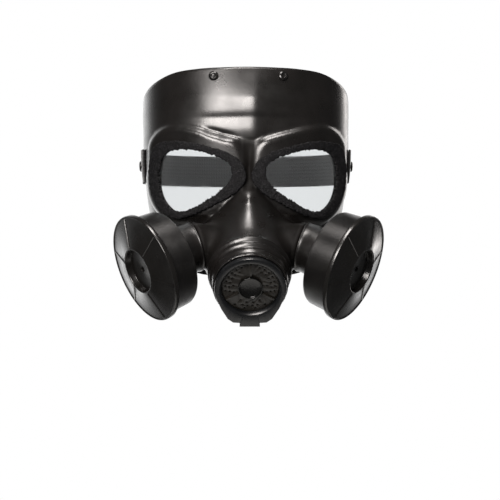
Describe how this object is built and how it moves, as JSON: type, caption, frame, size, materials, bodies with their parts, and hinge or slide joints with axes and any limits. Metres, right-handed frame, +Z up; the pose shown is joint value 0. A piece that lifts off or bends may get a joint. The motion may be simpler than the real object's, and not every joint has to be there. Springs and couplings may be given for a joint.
{
  "type": "gas mask style costume mask",
  "caption": "Full face costume mask in soft black sheet with goggle lenses, a grilled mouth valve, round filter canisters on side necks and an elastic head strap.",
  "frame": {"origin": "middle of the wearer's head at eye height, where the head holds the mask up", "axes": "+Z up, the mask looks along -Y, +Y backwards out of the open face, +X to the viewer's right as the mask is seen from its front"},
  "size_m": [0.2232, 0.2773, 0.2146],
  "materials": {
    "soft_pvc": "satin",
    "foam": "matt",
    "clear_sheet": "gloss",
    "hard_plastic": "satin",
    "rivet_metal": "gloss",
    "elastic": "woven"
  },
  "bodies": {
    "root": {"face_shell": "soft_pvc", "lens_gasket_left": "foam", "lens_gasket_right": "foam", "lens_left": "clear_sheet", "lens_right": "clear_sheet", "valve_ring": "hard_plastic", "valve_grille": "hard_plastic", "valve_boss": "hard_plastic", "neck_collar_left": "hard_plastic", "neck_collar_right": "hard_plastic", "canister_body_left": "hard_plastic", "canister_body_right": "hard_plastic", "canister_cap_left": "hard_plastic", "canister_cap_right": "hard_plastic", "forehead_rivet_left": "rivet_metal", "forehead_rivet_right": "rivet_metal", "strap_rivet_left": "rivet_metal", "strap_rivet_right": "rivet_metal", "head_strap": "elastic"}
  },
  "joints": []
}
